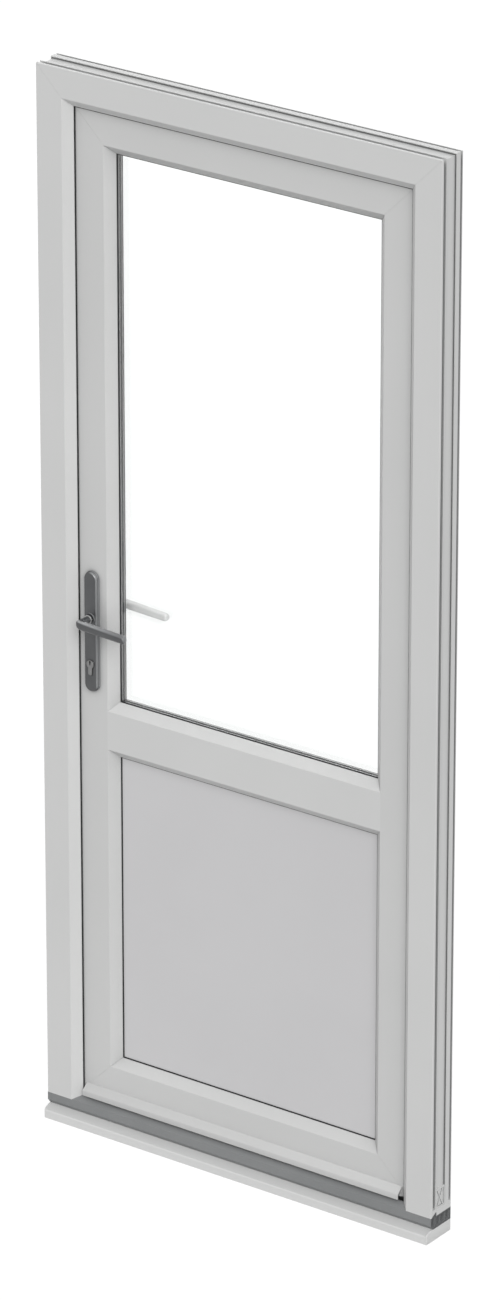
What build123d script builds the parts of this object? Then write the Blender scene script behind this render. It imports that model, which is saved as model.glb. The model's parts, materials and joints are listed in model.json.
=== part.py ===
from build123d import *
import os

# A half-glazed uPVC back door in its outer frame, opening inward, seen closed.
# X runs right as seen from outside, Y runs into the building, Z is up.
# The origin is on the underside of the cill, at mid width, below the frame's outer face.

# Outer frame
frame_width = 884.0
jamb_height = 2060.0  # from the threshold's front arris to the top of the head
frame_depth = 63.0
frame_face = 56.6  # flat front of the frame section
frame_bevel = 15.4  # across the bevel, both ways
frame_land = 1.2  # blunt tip of the upstand
frame_arris = 2.2  # rounding of the bevel's outer edge
front_arris = 1.2  # rounding of the frame's outer edge
edge_groove_depth = 8.0
edge_grooves = ((5.0, 12.8), (56.0, 61.4))  # start and end of each, from the outer face
clip_channel = (15.2, 44.5)  # start and end of the wide channel between them
clip_channel_depth = 4.3
clip_undercut = (3.5, 1.5)  # reach behind the channel's back edge, and thickness of the lip over it
foot_height = 14.0  # joint block between each jamb and the threshold
foot_tongue_height = 39.0
foot_tongue_margin = 0.8  # from the channel's edges
foot_tongue_thickness = 3.8

# Gaps between the frame and the leaf
sash_lap = 6.6  # of the frame's upstand over the leaf
flange_lap = 8.0  # of the leaf's flange over the frame
groove_gap = 12.0  # hardware gap round the leaf
sash_setback = 19.5  # the leaf's outer face behind the frame's outer face
flange_gap = 3.0
running_gap = 0.3

# Leaf sections
flange_thickness = 15.0
sash_face = 69.4
sash_bevel = 16.6  # across the bevel, both ways
sash_land = 1.4  # blunt tip of the lip
sash_arris = 2.2
flange_arris = 2.5
lip_root = 0.7  # from the glazing rebate's floor to the start of the bevel
mid_rail_face = 77.4
mid_rail_bottom = 739.9  # of its flat face, above the threshold's front arris
bottom_bevel_line = 84.8  # of the bottom rail, above the threshold's front arris
hardware_groove_width = 16.0
hardware_groove_depth = 3.0

# Glazing
glazing_gasket = 2.0
gasket_show = 2.0  # of a gasket's lip past the edge that it lies behind
unit_thickness = 20.0
pane_thickness = 4.0
glass_cover = 13.0
spacer_height = 7.0
spacer_groove = (5.6, 2.0)  # width and depth of the dark trough along the spacer
bead_gasket = 2.0
bead_drop = 1.5  # of the bead's edge below the lip's
bead_face = 1.5  # left of the bead at the leaf's inner face

# Threshold and cill
cill_projection = 13.0
cill_height = 24.5
cill_nose_height = 17.0
cill_slope_run = 20.0
cill_back = 64.0
cill_arris = 3.5
end_cap_thickness = 2.4
end_cap_inset = 0.8  # of each cap's outer face from the frame's end
end_cap_lip = 2.8  # above the cill, in front of the threshold
end_cap_arris = 1.5
drip_groove = (4.0, 2.5)  # width, depth
drip_groove_inset = 3.0
threshold_chamfer_run = 7.0
threshold_chamfer_rise = 9.0
threshold_face = 15.5
ridge_run = 13.6
ridge_rise = 7.8
ridge_width = 3.4
threshold_wall = 2.6
threshold_webs = (17.0, 32.0, 47.5)  # centre of each web, into the wall

# Handles, lock and cylinder
backset = 38.2  # leaf's lock edge to the spindle
pivot_height = 1000.0  # above the threshold's front arris
cylinder_drop = 92.0
plate_length = 240.0
plate_width = 30.0
plate_thickness = 10.0
plate_step = (1.2, 5.0)  # inset of the plate's front tier, and height of the tier behind it
plate_above_pivot = 92.0
plate_arris = 1.5
neck_radius = 7.5
lever_heel = 10.0  # from the pivot to the closed end of the bar
lever_length = 101.0  # from the pivot to the free end
lever_height = (17.0, 14.5)  # at the heel and at the free end
lever_corners = (3.5, 9.0, 5.0)  # rounding above the heel, below it and at the free end
lever_thickness = 12.0
lever_standoff = 21.5  # plate face to the back of the bar
lever_arris = 2.5
collar_radius = 10.5  # of the boss round the neck, on the plate
collar_proud = 2.0
spindle_size = 8.0
spindle_bore = 7.0
cylinder_radius = 8.5
cylinder_tail_width = 10.0
cylinder_height = 30.0
cylinder_proud = 2.0
keyway = (1.6, 9.0, 8.0)  # width, height, depth
faceplate_end = 120.0  # from the leaf's edge to each end of the strip
bolt_depth = 14.0  # of the latch, deadbolt and hooks behind the strip
latch_size = (12.0, 30.0)
deadbolt_drop = 74.0  # below the spindle
deadbolt_size = (8.0, 36.0)
hook_size = (6.0, 44.0)
keep_thickness = 3.5
keep_width = 22.0
keep_margin = 6.0  # round each keep's slot
keep_groove_depth = 2.0
hook_spread = 620.0  # latch to each hook

# Hinges
hinge_axis_inset = 38.0  # from the frame's outer edge
hinge_axis_proud = 8.0  # of the leaf's inner face
hinge_end = 230.0  # middle of the end hinges from the leaf's edge
knuckle_radius = 7.5
knuckle_length = 33.0
knuckle_gap = 0.4
hinge_arm_inner = 3.5  # the arm's reach from the pin towards the leaf
hinge_pin_radius = 4.0
pin_clearance = 0.1
sash_leaf = (46.0, 90.0, 4.0)  # width, height, thickness
frame_leaf = (34.0, 100.0, 5.0)

# Weather bar
weather_projection = 14.5
weather_height = 22.5
weather_slope = 11.5
weather_wall = 2.2
weather_nose = 2.0  # rounding of its front arris
weather_end_gap = 7.0  # from the frame's upstand
weather_below_leaf = 2.0

# Values worked out from the sizes above
half_width = frame_width / 2
cill_half = half_width - end_cap_inset - end_cap_thickness
sill_line = cill_height + threshold_chamfer_rise + threshold_face
frame_top = sill_line + jamb_height
upstand_reach = frame_face + frame_bevel
upstand_back = frame_bevel + frame_land
sash_edge = upstand_reach - sash_lap
rebate_floor = sash_edge - groove_gap
flange_edge = rebate_floor - flange_lap
flange_reach = sash_edge - flange_edge
flange_front = frame_depth + flange_gap
sash_inner = flange_front + flange_thickness
sash_line = flange_reach + sash_face
lip_reach = sash_line + sash_bevel
lip_back = sash_setback + sash_bevel + sash_land
glazing_floor = sash_line - lip_root
leaf_half = half_width - flange_edge
leaf_top = frame_top - flange_edge
leaf_bottom = sill_line + bottom_bevel_line - sash_line
leaf_lock_edge = -leaf_half + flange_reach
rail_half = mid_rail_face / 2
rail_centre = sill_line + mid_rail_bottom + rail_half
rail_rebate_half = rail_half - lip_root
rail_lip_half = rail_half + sash_bevel
glazing_half = leaf_half - glazing_floor
unit_front = lip_back + glazing_gasket
unit_back = unit_front + unit_thickness
bead_front = unit_back + bead_gasket
groove_middle = (sash_setback + flange_front) / 2
pivot_x = leaf_lock_edge + backset
pivot_z = sill_line + pivot_height
plate_middle = pivot_z + plate_above_pivot - plate_length / 2
cylinder_z = pivot_z - cylinder_drop
hinge_x = half_width - hinge_axis_inset
lower_hinge_z = leaf_bottom + flange_reach + hinge_end
upper_hinge_z = leaf_top - flange_reach - hinge_end
middle_hinge_z = (lower_hinge_z + upper_hinge_z) / 2
hinge_places = {"lower": lower_hinge_z, "middle": middle_hinge_z, "upper": upper_hinge_z}
hinge_y = sash_inner + hinge_axis_proud

os.makedirs("parts", exist_ok=True)


def save(builder, name):
    builder.part.label = name
    export_step(builder.part, f"parts/{name}.step")


# Planes for the four members of a rectangle: local x runs inward from its edge, local y into the wall
def left_plane(half, bottom):
    return Plane(origin=(-half, 0, bottom), x_dir=(1, 0, 0), z_dir=(0, 0, 1))


def right_plane(half, top):
    return Plane(origin=(half, 0, top), x_dir=(-1, 0, 0), z_dir=(0, 0, -1))


def top_plane(half, top):
    return Plane(origin=(-half, 0, top), x_dir=(0, 0, -1), z_dir=(1, 0, 0))


def bottom_plane(half, bottom):
    return Plane(origin=(half, 0, bottom), x_dir=(0, 0, 1), z_dir=(-1, 0, 0))


# Cuts a mitre at the start or the end of a member that was extruded along its plane's normal
def cut_mitre(plane, length, at_end):
    origin = plane.origin + plane.z_dir * (length if at_end else 0)
    inward = plane.z_dir * (-1 if at_end else 1)
    split(bisect_by=Plane(origin=origin, z_dir=inward - plane.x_dir), keep=Keep.TOP)


# Outline of the outer frame's section, x from its outer edge and y from its outer face
with BuildSketch() as frame_outline:
    with BuildLine():
        Polyline(
            (0, 0),
            (frame_face, 0),
            (upstand_reach, frame_bevel),
            (upstand_reach, upstand_back),
            (rebate_floor, upstand_back),
            (rebate_floor, frame_depth),
            (0, frame_depth),
            close=True,
        )
    make_face()
    fillet(frame_outline.vertices().sort_by_distance((frame_face, 0))[0], frame_arris)
    fillet(frame_outline.vertices().sort_by_distance((0, 0))[0], front_arris)

# Section of the jambs and head: the outline with its outer channels and the groove for the keeps
with BuildSketch() as frame_section:
    add(frame_outline.sketch)
    for start, end in edge_grooves:
        with Locations((edge_groove_depth / 2, (start + end) / 2)):
            Rectangle(edge_groove_depth, end - start, mode=Mode.SUBTRACT)
    with Locations((clip_channel_depth / 2, sum(clip_channel) / 2)):
        Rectangle(clip_channel_depth, clip_channel[1] - clip_channel[0], mode=Mode.SUBTRACT)
    with Locations(((clip_channel_depth + clip_undercut[1]) / 2, clip_channel[1] + clip_undercut[0] / 2)):
        Rectangle(clip_channel_depth - clip_undercut[1], clip_undercut[0], mode=Mode.SUBTRACT)
    with Locations((rebate_floor - keep_groove_depth / 2, groove_middle)):
        Rectangle(keep_groove_depth, keep_width, mode=Mode.SUBTRACT)


# Section of the leaf's outer members, x from the flange's edge and y from the frame's outer face
with BuildSketch() as sash_section:
    with BuildLine():
        Polyline(
            (0, flange_front),
            (flange_reach, flange_front),
            (flange_reach, sash_setback),
            (sash_line, sash_setback),
            (lip_reach, lip_back - sash_land),
            (lip_reach, lip_back),
            (glazing_floor, lip_back),
            (glazing_floor, sash_inner),
            (0, sash_inner),
            close=True,
        )
    make_face()
    fillet(sash_section.vertices().sort_by_distance((sash_line, sash_setback))[0], sash_arris)
    fillet(sash_section.vertices().sort_by_distance((0, sash_inner))[0], flange_arris)
    with Locations((flange_reach + hardware_groove_depth / 2, groove_middle)):
        Rectangle(hardware_groove_depth, hardware_groove_width, mode=Mode.SUBTRACT)


# Outline of the threshold's section, x into the wall and y up
with BuildSketch() as threshold_outline:
    with BuildLine():
        Polyline(
            (threshold_chamfer_run, cill_height),
            (0, cill_height + threshold_chamfer_rise),
            (0, sill_line),
            (ridge_run, sill_line + ridge_rise),
            (ridge_run + ridge_width, sill_line + ridge_rise),
            (ridge_run + ridge_width, sill_line),
            (frame_depth, sill_line),
            (frame_depth, cill_height),
            close=True,
        )
    make_face()


# Outline of the cill's section, x into the wall and y up
with BuildSketch() as cill_outline:
    with BuildLine():
        Polyline(
            (-cill_projection, 0),
            (-cill_projection, cill_nose_height),
            (cill_slope_run - cill_projection, cill_height),
            (cill_back, cill_height),
            (cill_back, 0),
            close=True,
        )
    make_face()
    nose = cill_outline.vertices().group_by(Axis.X)[0].sort_by(Axis.Y)[-1]
    fillet(nose, cill_arris)

# Cill: a sloped nose in front of the frame, with a drip groove under it
with BuildPart() as cill:
    with BuildSketch(Plane.YZ):
        add(cill_outline.sketch)
        with Locations((drip_groove_inset + drip_groove[0] / 2 - cill_projection, drip_groove[1] / 2)):
            Rectangle(*drip_groove, mode=Mode.SUBTRACT)
    extrude(amount=cill_half, both=True)
save(cill, "cill")

for side, outward in (("left", -1), ("right", 1)):
    with BuildPart() as end_cap:
        with BuildSketch(Plane.YZ.offset(outward * cill_half)):
            add(cill_outline.sketch)
            with Locations((0, end_cap_lip)):
                add(cill_outline.sketch)
            with Locations((cill_back / 2, cill_height + end_cap_lip / 2)):
                Rectangle(cill_back, end_cap_lip, mode=Mode.SUBTRACT)
        extrude(amount=outward * end_cap_thickness)
        corner = (outward * (cill_half + end_cap_thickness), -cill_projection, cill_nose_height / 2)
        fillet(end_cap.edges().filter_by(Axis.Z).sort_by_distance(corner)[0], end_cap_arris)
    save(end_cap, f"cill_end_cap_{side}")

# Threshold: a chambered extrusion with a ridge that the leaf closes behind
with BuildPart() as threshold:
    with BuildSketch(Plane.YZ):
        add(threshold_outline.sketch)
        cell_low = cill_height + threshold_wall
        cell_starts = threshold_webs
        cell_ends = threshold_webs[1:] + (frame_depth - threshold_wall / 2,)
        for start, end in zip(cell_starts, cell_ends):
            with Locations(((start + end) / 2, (cell_low + sill_line - threshold_wall) / 2)):
                Rectangle(
                    end - start - threshold_wall,
                    sill_line - threshold_wall - cell_low,
                    mode=Mode.SUBTRACT,
                )
        with BuildLine():
            Polyline(
                (threshold_chamfer_run + threshold_wall / 2, cell_low),
                (threshold_wall, cill_height + threshold_chamfer_rise + threshold_wall / 2),
                (threshold_wall, sill_line - threshold_wall / 2),
                (threshold_webs[0] - threshold_wall / 2, sill_line + ridge_rise - 2 * threshold_wall),
                (threshold_webs[0] - threshold_wall / 2, cell_low),
                close=True,
            )
        make_face(mode=Mode.SUBTRACT)
    extrude(amount=half_width, both=True)
save(threshold, "threshold")

# Threshold seal: a standing lip behind the ridge, just under the leaf
seal_width = 6.0
seal_root = 3.0
seal_lip = 2.0
seal_top = leaf_bottom + flange_reach - weather_below_leaf - running_gap
with BuildPart() as threshold_seal:
    with BuildSketch(Plane.YZ):
        with BuildLine():
            Polyline(
                (sash_setback + 1, sill_line),
                (sash_setback + 1, sill_line + seal_root),
                (sash_setback + 3, sill_line + seal_root),
                (sash_setback + 2, seal_top),
                (sash_setback + 2 + seal_lip, seal_top),
                (sash_setback + 5, sill_line + seal_root),
                (sash_setback + 1 + seal_width, sill_line + seal_root),
                (sash_setback + 1 + seal_width, sill_line),
                close=True,
            )
        make_face()
    extrude(amount=half_width - rebate_floor, both=True)
save(threshold_seal, "threshold_seal")

# Jambs: the frame section, mitred to the head and standing on joint blocks
jamb_length = jamb_height - foot_height
lock_jamb_plane = left_plane(half_width, sill_line + foot_height)
with BuildPart() as lock_jamb:
    with BuildSketch(lock_jamb_plane):
        add(frame_section.sketch)
    extrude(amount=jamb_length)
    cut_mitre(lock_jamb_plane, jamb_length, True)
save(lock_jamb, "lock_jamb")

hinge_jamb_plane = right_plane(half_width, frame_top)
with BuildPart() as hinge_jamb:
    with BuildSketch(hinge_jamb_plane):
        add(frame_section.sketch)
    extrude(amount=jamb_length)
    cut_mitre(hinge_jamb_plane, jamb_length, False)
save(hinge_jamb, "hinge_jamb")

# Joint blocks: the jamb's outline scribed over the threshold, with a ribbed tongue up its channel
tongue_width = clip_channel[1] - clip_channel[0] - 2 * foot_tongue_margin
tongue_middle = sum(clip_channel) / 2
tongue_rib = 2.5
tongue_recess = 1.6
for name, outward in (("lock_jamb_foot", -1), ("hinge_jamb_foot", 1)):
    foot_plane = left_plane(half_width, sill_line) if outward < 0 else right_plane(half_width, sill_line)
    with BuildPart() as foot:
        with BuildSketch(foot_plane):
            add(frame_outline.sketch)
        extrude(amount=-outward * foot_height)
        with BuildSketch(Plane.YZ):
            add(threshold_outline.sketch)
        extrude(amount=half_width, both=True, mode=Mode.SUBTRACT)
        tongue_face = half_width - clip_channel_depth + foot_tongue_thickness
        with BuildSketch(Plane.YZ.offset(outward * tongue_face)):
            with Locations((tongue_middle, sill_line + foot_height + foot_tongue_height / 2)):
                Rectangle(tongue_width, foot_tongue_height)
        extrude(amount=-outward * foot_tongue_thickness)
        with BuildSketch(Plane.YZ.offset(outward * tongue_face)):
            with Locations((tongue_middle, sill_line + foot_height + foot_tongue_height / 2)):
                Rectangle(tongue_width - 2 * tongue_rib, foot_tongue_height - 2 * tongue_rib)
                Rectangle(tongue_rib, foot_tongue_height, rotation=27, mode=Mode.SUBTRACT)
                Rectangle(tongue_rib, foot_tongue_height, rotation=-27, mode=Mode.SUBTRACT)
        extrude(amount=-outward * tongue_recess, mode=Mode.SUBTRACT)
    save(foot, name)

head_plane = top_plane(half_width, frame_top)
with BuildPart() as frame_head:
    with BuildSketch(head_plane):
        add(frame_section.sketch)
    extrude(amount=frame_width)
    cut_mitre(head_plane, frame_width, False)
    cut_mitre(head_plane, frame_width, True)
save(frame_head, "frame_head")

# Frame gasket: one strip round the back of the upstand, its lip showing past the bevel's tip
gasket_width = 6.5
gasket_outer = half_width - upstand_reach - gasket_show + gasket_width
with BuildPart() as frame_gasket:
    with BuildSketch(Plane.XZ.offset(-upstand_back)):
        gasket_height = frame_top - half_width + gasket_outer - sill_line - ridge_rise
        gasket_middle = sill_line + ridge_rise + gasket_height / 2
        with Locations((0, gasket_middle)):
            Rectangle(2 * gasket_outer, gasket_height)
        with Locations((0, gasket_middle - gasket_width / 2)):
            Rectangle(2 * (gasket_outer - gasket_width), gasket_height - gasket_width, mode=Mode.SUBTRACT)
    extrude(amount=-(sash_setback - upstand_back - running_gap))
save(frame_gasket, "frame_gasket")

# Keeps on the lock jamb: one for the latch, one for each hook
keep_x = -half_width + rebate_floor - keep_groove_depth
for name, lift, length in (
    ("latch_keep", -deadbolt_drop / 2, 170.0),
    ("upper_hook_keep", hook_spread, 80.0),
    ("lower_hook_keep", -hook_spread, 80.0),
):
    with BuildPart() as keep:
        with BuildSketch(Plane.YZ.offset(keep_x)):
            with Locations((groove_middle, pivot_z + lift)):
                RectangleRounded(keep_width, length, 4)
                Rectangle(keep_width - 2 * keep_margin, length - 3 * keep_margin, mode=Mode.SUBTRACT)
        extrude(amount=keep_thickness)
    save(keep, name)

# Leaf: two stiles and three rails, mitred at the corners, with the mid rail notched into the stiles
leaf_height = leaf_top - leaf_bottom


# Where the mid rail's lips meet a stile's lip
def make_notch(outward):
    edge = outward * glazing_half
    tip = outward * (glazing_half - (lip_reach - glazing_floor))
    with BuildPart() as notch:
        with BuildSketch(Plane.XZ.offset(-sash_setback)):
            with BuildLine():
                Polyline(
                    (edge, rail_centre - rail_rebate_half),
                    (edge, rail_centre + rail_rebate_half),
                    (tip, rail_centre + rail_lip_half),
                    (tip, rail_centre - rail_lip_half),
                    close=True,
                )
            make_face()
        extrude(amount=-(lip_back - sash_setback))
    return notch.part


# Hole for the cylinder, a round over a narrower tail, x and y from the barrel's centre
cylinder_tail = cylinder_height - cylinder_radius
with BuildSketch() as cylinder_hole:
    Circle(cylinder_radius + running_gap)
    with Locations((0, -cylinder_tail / 2)):
        Rectangle(cylinder_tail_width + 2 * running_gap, cylinder_tail + 2 * running_gap)


# Outlines of the latch, the deadbolt and the two hooks on the leaf's lock edge
with BuildSketch() as bolt_outlines:
    with Locations((groove_middle, pivot_z)):
        Rectangle(*latch_size)
    with Locations((groove_middle, pivot_z - deadbolt_drop)):
        Rectangle(*deadbolt_size)
    with Locations((groove_middle, pivot_z + hook_spread), (groove_middle, pivot_z - hook_spread)):
        SlotOverall(hook_size[1], hook_size[0], rotation=90)

lock_stile_plane = left_plane(leaf_half, leaf_bottom)
with BuildPart() as lock_stile:
    with BuildSketch(lock_stile_plane):
        add(sash_section.sketch)
    extrude(amount=leaf_height)
    cut_mitre(lock_stile_plane, leaf_height, False)
    cut_mitre(lock_stile_plane, leaf_height, True)
    add(make_notch(-1), mode=Mode.SUBTRACT)
    with BuildSketch(Plane.XZ.offset(-sash_setback)):
        with Locations((pivot_x, pivot_z)):
            Circle(spindle_bore)
        with Locations((pivot_x, cylinder_z)):
            add(cylinder_hole.sketch)
    extrude(amount=-(sash_inner - sash_setback), mode=Mode.SUBTRACT)
    with BuildSketch(Plane.YZ.offset(leaf_lock_edge + hardware_groove_depth)):
        add(bolt_outlines.sketch)
    extrude(amount=bolt_depth - hardware_groove_depth, mode=Mode.SUBTRACT)
save(lock_stile, "lock_stile")

hinge_stile_plane = right_plane(leaf_half, leaf_top)
with BuildPart() as hinge_stile:
    with BuildSketch(hinge_stile_plane):
        add(sash_section.sketch)
    extrude(amount=leaf_height)
    cut_mitre(hinge_stile_plane, leaf_height, False)
    cut_mitre(hinge_stile_plane, leaf_height, True)
    add(make_notch(1), mode=Mode.SUBTRACT)
save(hinge_stile, "hinge_stile")

for name, plane in (
    ("top_rail", top_plane(leaf_half, leaf_top)),
    ("bottom_rail", bottom_plane(leaf_half, leaf_bottom)),
):
    with BuildPart() as rail:
        with BuildSketch(plane):
            add(sash_section.sketch)
        extrude(amount=2 * leaf_half)
        cut_mitre(plane, 2 * leaf_half, False)
        cut_mitre(plane, 2 * leaf_half, True)
    save(rail, name)

with BuildPart() as mid_rail:
    with BuildSketch(Plane.YZ.offset(-glazing_half)):
        with BuildLine():
            Polyline(
                (sash_setback, rail_centre - rail_half),
                (sash_setback, rail_centre + rail_half),
                (lip_back - sash_land, rail_centre + rail_lip_half),
                (lip_back, rail_centre + rail_lip_half),
                (lip_back, rail_centre + rail_rebate_half),
                (sash_inner, rail_centre + rail_rebate_half),
                (sash_inner, rail_centre - rail_rebate_half),
                (lip_back, rail_centre - rail_rebate_half),
                (lip_back, rail_centre - rail_lip_half),
                (lip_back - sash_land, rail_centre - rail_lip_half),
                close=True,
            )
        make_face()
    extrude(amount=2 * glazing_half)
    arrises = mid_rail.edges().filter_by(Axis.X).group_by(Axis.Y)[0]
    fillet(arrises, sash_arris)
    for outward in (-1, 1):
        for upward in (-1, 1):
            corner = (outward * glazing_half, 0, rail_centre + upward * rail_rebate_half)
            split(bisect_by=Plane(origin=corner, z_dir=(-outward, 0, -upward)), keep=Keep.TOP)
save(mid_rail, "mid_rail")

# Apertures, measured to the floors of the glazing rebates
upper_low = rail_centre + rail_rebate_half
upper_high = leaf_top - glazing_floor
lower_low = leaf_bottom + glazing_floor
lower_high = rail_centre - rail_rebate_half
lip_overlap = lip_reach - glazing_floor
infill_inset = lip_overlap - glass_cover


# Rectangle of an aperture, drawn inset from the floors of its rebates
def draw_aperture(low, high, inset, mode=Mode.ADD):
    with Locations((0, (low + high) / 2)):
        Rectangle(2 * (glazing_half - inset), high - low - 2 * inset, mode=mode)


def make_ring(low, high, outer_inset, inner_inset, start, thickness):
    with BuildPart() as ring:
        with BuildSketch(Plane.XZ.offset(-start)):
            draw_aperture(low, high, outer_inset)
            draw_aperture(low, high, inner_inset, Mode.SUBTRACT)
        extrude(amount=-thickness)
    return ring


# Bead ring: snapped into the rebate from inside, its face sloping away from the glass
def make_beads(low, high):
    with BuildPart() as beads:
        with BuildSketch(Plane.XZ.offset(-bead_front)):
            draw_aperture(low, high, 0)
        extrude(amount=-(sash_inner - bead_front))
        with BuildSketch(Plane.XZ.offset(-bead_front)):
            draw_aperture(low, high, lip_overlap - bead_drop)
        with BuildSketch(Plane.XZ.offset(-sash_inner)):
            draw_aperture(low, high, bead_face)
        loft(mode=Mode.SUBTRACT)
    return beads


save(make_beads(upper_low, upper_high), "upper_beads")
save(make_beads(lower_low, lower_high), "lower_beads")

# Upper glazing: two panes on a spacer bar
for name, start in (("outer_pane", unit_front), ("inner_pane", unit_back - pane_thickness)):
    with BuildPart() as pane:
        with BuildSketch(Plane.XZ.offset(-start)):
            draw_aperture(upper_low, upper_high, infill_inset)
        extrude(amount=-pane_thickness)
    save(pane, name)

# Spacer bar: its inner face is just inside the lip, with a trough along the middle
spacer_start = unit_front + pane_thickness
spacer_thickness = unit_thickness - 2 * pane_thickness
spacer_inner = lip_overlap
with BuildPart() as spacer_bar:
    with BuildSketch(Plane.XZ.offset(-spacer_start)):
        draw_aperture(upper_low, upper_high, spacer_inner - spacer_height)
        draw_aperture(upper_low, upper_high, spacer_inner, Mode.SUBTRACT)
    extrude(amount=-spacer_thickness)
    with BuildSketch(Plane.XZ.offset(-(spacer_start + (spacer_thickness - spacer_groove[0]) / 2))):
        draw_aperture(upper_low, upper_high, spacer_inner - spacer_groove[1])
    extrude(amount=-spacer_groove[0], mode=Mode.SUBTRACT)
save(spacer_bar, "spacer_bar")

# Glazing gaskets: a ring in front of the infill and a ring between it and the beads, in each aperture
gasket_cover = 8.0
for name, low, high in (("upper", upper_low, upper_high), ("lower", lower_low, lower_high)):
    front_edge = lip_overlap + gasket_show
    outer_gasket = make_ring(low, high, lip_overlap - gasket_cover, front_edge, lip_back, glazing_gasket)
    save(outer_gasket, f"{name}_outer_gasket")
    back_edge = lip_overlap - bead_drop
    inner_gasket = make_ring(low, high, back_edge - gasket_cover, back_edge, unit_back, bead_gasket)
    save(inner_gasket, f"{name}_inner_gasket")

# Lower infill panel
with BuildPart() as lower_panel:
    with BuildSketch(Plane.XZ.offset(-unit_front)):
        draw_aperture(lower_low, lower_high, infill_inset)
    extrude(amount=-unit_thickness)
save(lower_panel, "lower_panel")

# Sash gasket: one ring on the flange, facing the frame's inner face
sash_gasket_inset = 1.0  # from the flange's edge
with BuildPart() as sash_gasket:
    with BuildSketch(Plane.XZ.offset(-flange_front)):
        with Locations((0, (leaf_top + leaf_bottom) / 2)):
            Rectangle(2 * (leaf_half - sash_gasket_inset), leaf_height - 2 * sash_gasket_inset)
            hole_inset = sash_gasket_inset + gasket_width
            Rectangle(2 * (leaf_half - hole_inset), leaf_height - 2 * hole_inset, mode=Mode.SUBTRACT)
    extrude(amount=flange_gap - running_gap)
save(sash_gasket, "sash_gasket")

# Weather bar: a drip moulding along the foot of the leaf
weather_low = leaf_bottom + flange_reach - weather_below_leaf
weather_high = weather_low + weather_height
weather_front = sash_setback - weather_projection
with BuildPart() as weather_bar:
    with BuildSketch(Plane.YZ) as weather_bar_section:
        with BuildLine():
            Polyline(
                (sash_setback, weather_high),
                (weather_front, weather_high - weather_slope),
                (weather_front, weather_low),
                (weather_front + weather_wall, weather_low),
                (weather_front + weather_wall, weather_high - weather_slope - weather_wall / 2),
                (sash_setback - weather_wall, weather_high - 2 * weather_wall),
                (sash_setback - weather_wall, weather_low + weather_below_leaf),
                (sash_setback, weather_low + weather_below_leaf),
                close=True,
            )
        make_face()
        weather_corner = Vector(weather_front, weather_high - weather_slope)
        fillet(weather_bar_section.vertices().sort_by_distance(weather_corner)[0], weather_nose)
    extrude(amount=half_width - upstand_reach - weather_end_gap, both=True)
save(weather_bar, "weather_bar")

# Handle plates: long round-ended backplates in two tiers, bored for the neck and cut for the cylinder
neck_bore = neck_radius + running_gap


def make_plate(face, outward):
    plane = Plane(origin=(0, face, 0), x_dir=(1, 0, 0), z_dir=(0, outward, 0))
    up = 1 if outward < 0 else -1
    with BuildPart() as plate:
        with BuildSketch(plane):
            with Locations((pivot_x, up * plate_middle)):
                SlotOverall(plate_length, plate_width, rotation=90)
        extrude(amount=plate_step[1])
        with BuildSketch(plane.offset(plate_step[1])):
            with Locations((pivot_x, up * plate_middle)):
                SlotOverall(plate_length - 2 * plate_step[0], plate_width - 2 * plate_step[0], rotation=90)
        extrude(amount=plate_thickness - plate_step[1])
        rim = plate.faces().sort_by(Axis.Y)[-1 if outward > 0 else 0].edges()
        chamfer(rim, plate_arris)
        with BuildSketch(plane.offset(plate_thickness)):
            with Locations((pivot_x, up * pivot_z)):
                Circle(collar_radius)
        extrude(amount=collar_proud)
        with BuildSketch(plane):
            with Locations((pivot_x, up * pivot_z)):
                Circle(neck_bore)
            with Locations((pivot_x, up * cylinder_z)):
                Circle(cylinder_radius + running_gap)
            tail_height = cylinder_height - cylinder_radius
            with Locations((pivot_x, up * (cylinder_z - tail_height / 2))):
                Rectangle(cylinder_tail_width + 2 * running_gap, tail_height + 2 * running_gap)
        extrude(amount=plate_thickness + collar_proud, mode=Mode.SUBTRACT)
    return plate


save(make_plate(sash_setback, -1), "outside_handle_plate")
save(make_plate(sash_inner, 1), "inside_handle_plate")

# Cylinder: a round barrel over a narrower tail, from plate to plate, with a keyway each side
cylinder_start = sash_setback - plate_thickness - cylinder_proud
cylinder_end = sash_inner + plate_thickness + cylinder_proud
with BuildPart() as euro_cylinder:
    with BuildSketch(Plane.XZ.offset(-cylinder_start)):
        with Locations((pivot_x, cylinder_z)):
            Circle(cylinder_radius)
        tail = cylinder_height - cylinder_radius - cylinder_tail_width / 2
        with Locations((pivot_x, cylinder_z - tail / 2)):
            Rectangle(cylinder_tail_width, tail)
        with Locations((pivot_x, cylinder_z - tail)):
            Circle(cylinder_tail_width / 2)
    extrude(amount=cylinder_start - cylinder_end)
    with BuildSketch(Plane.XZ.offset(-cylinder_start)):
        with Locations((pivot_x, cylinder_z)):
            Rectangle(keyway[0], keyway[1])
    extrude(amount=-keyway[2], mode=Mode.SUBTRACT)
    with BuildSketch(Plane.XZ.offset(-cylinder_end)):
        with Locations((pivot_x, cylinder_z)):
            Rectangle(keyway[0], keyway[1])
    extrude(amount=keyway[2], mode=Mode.SUBTRACT)
save(euro_cylinder, "euro_cylinder")


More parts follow.
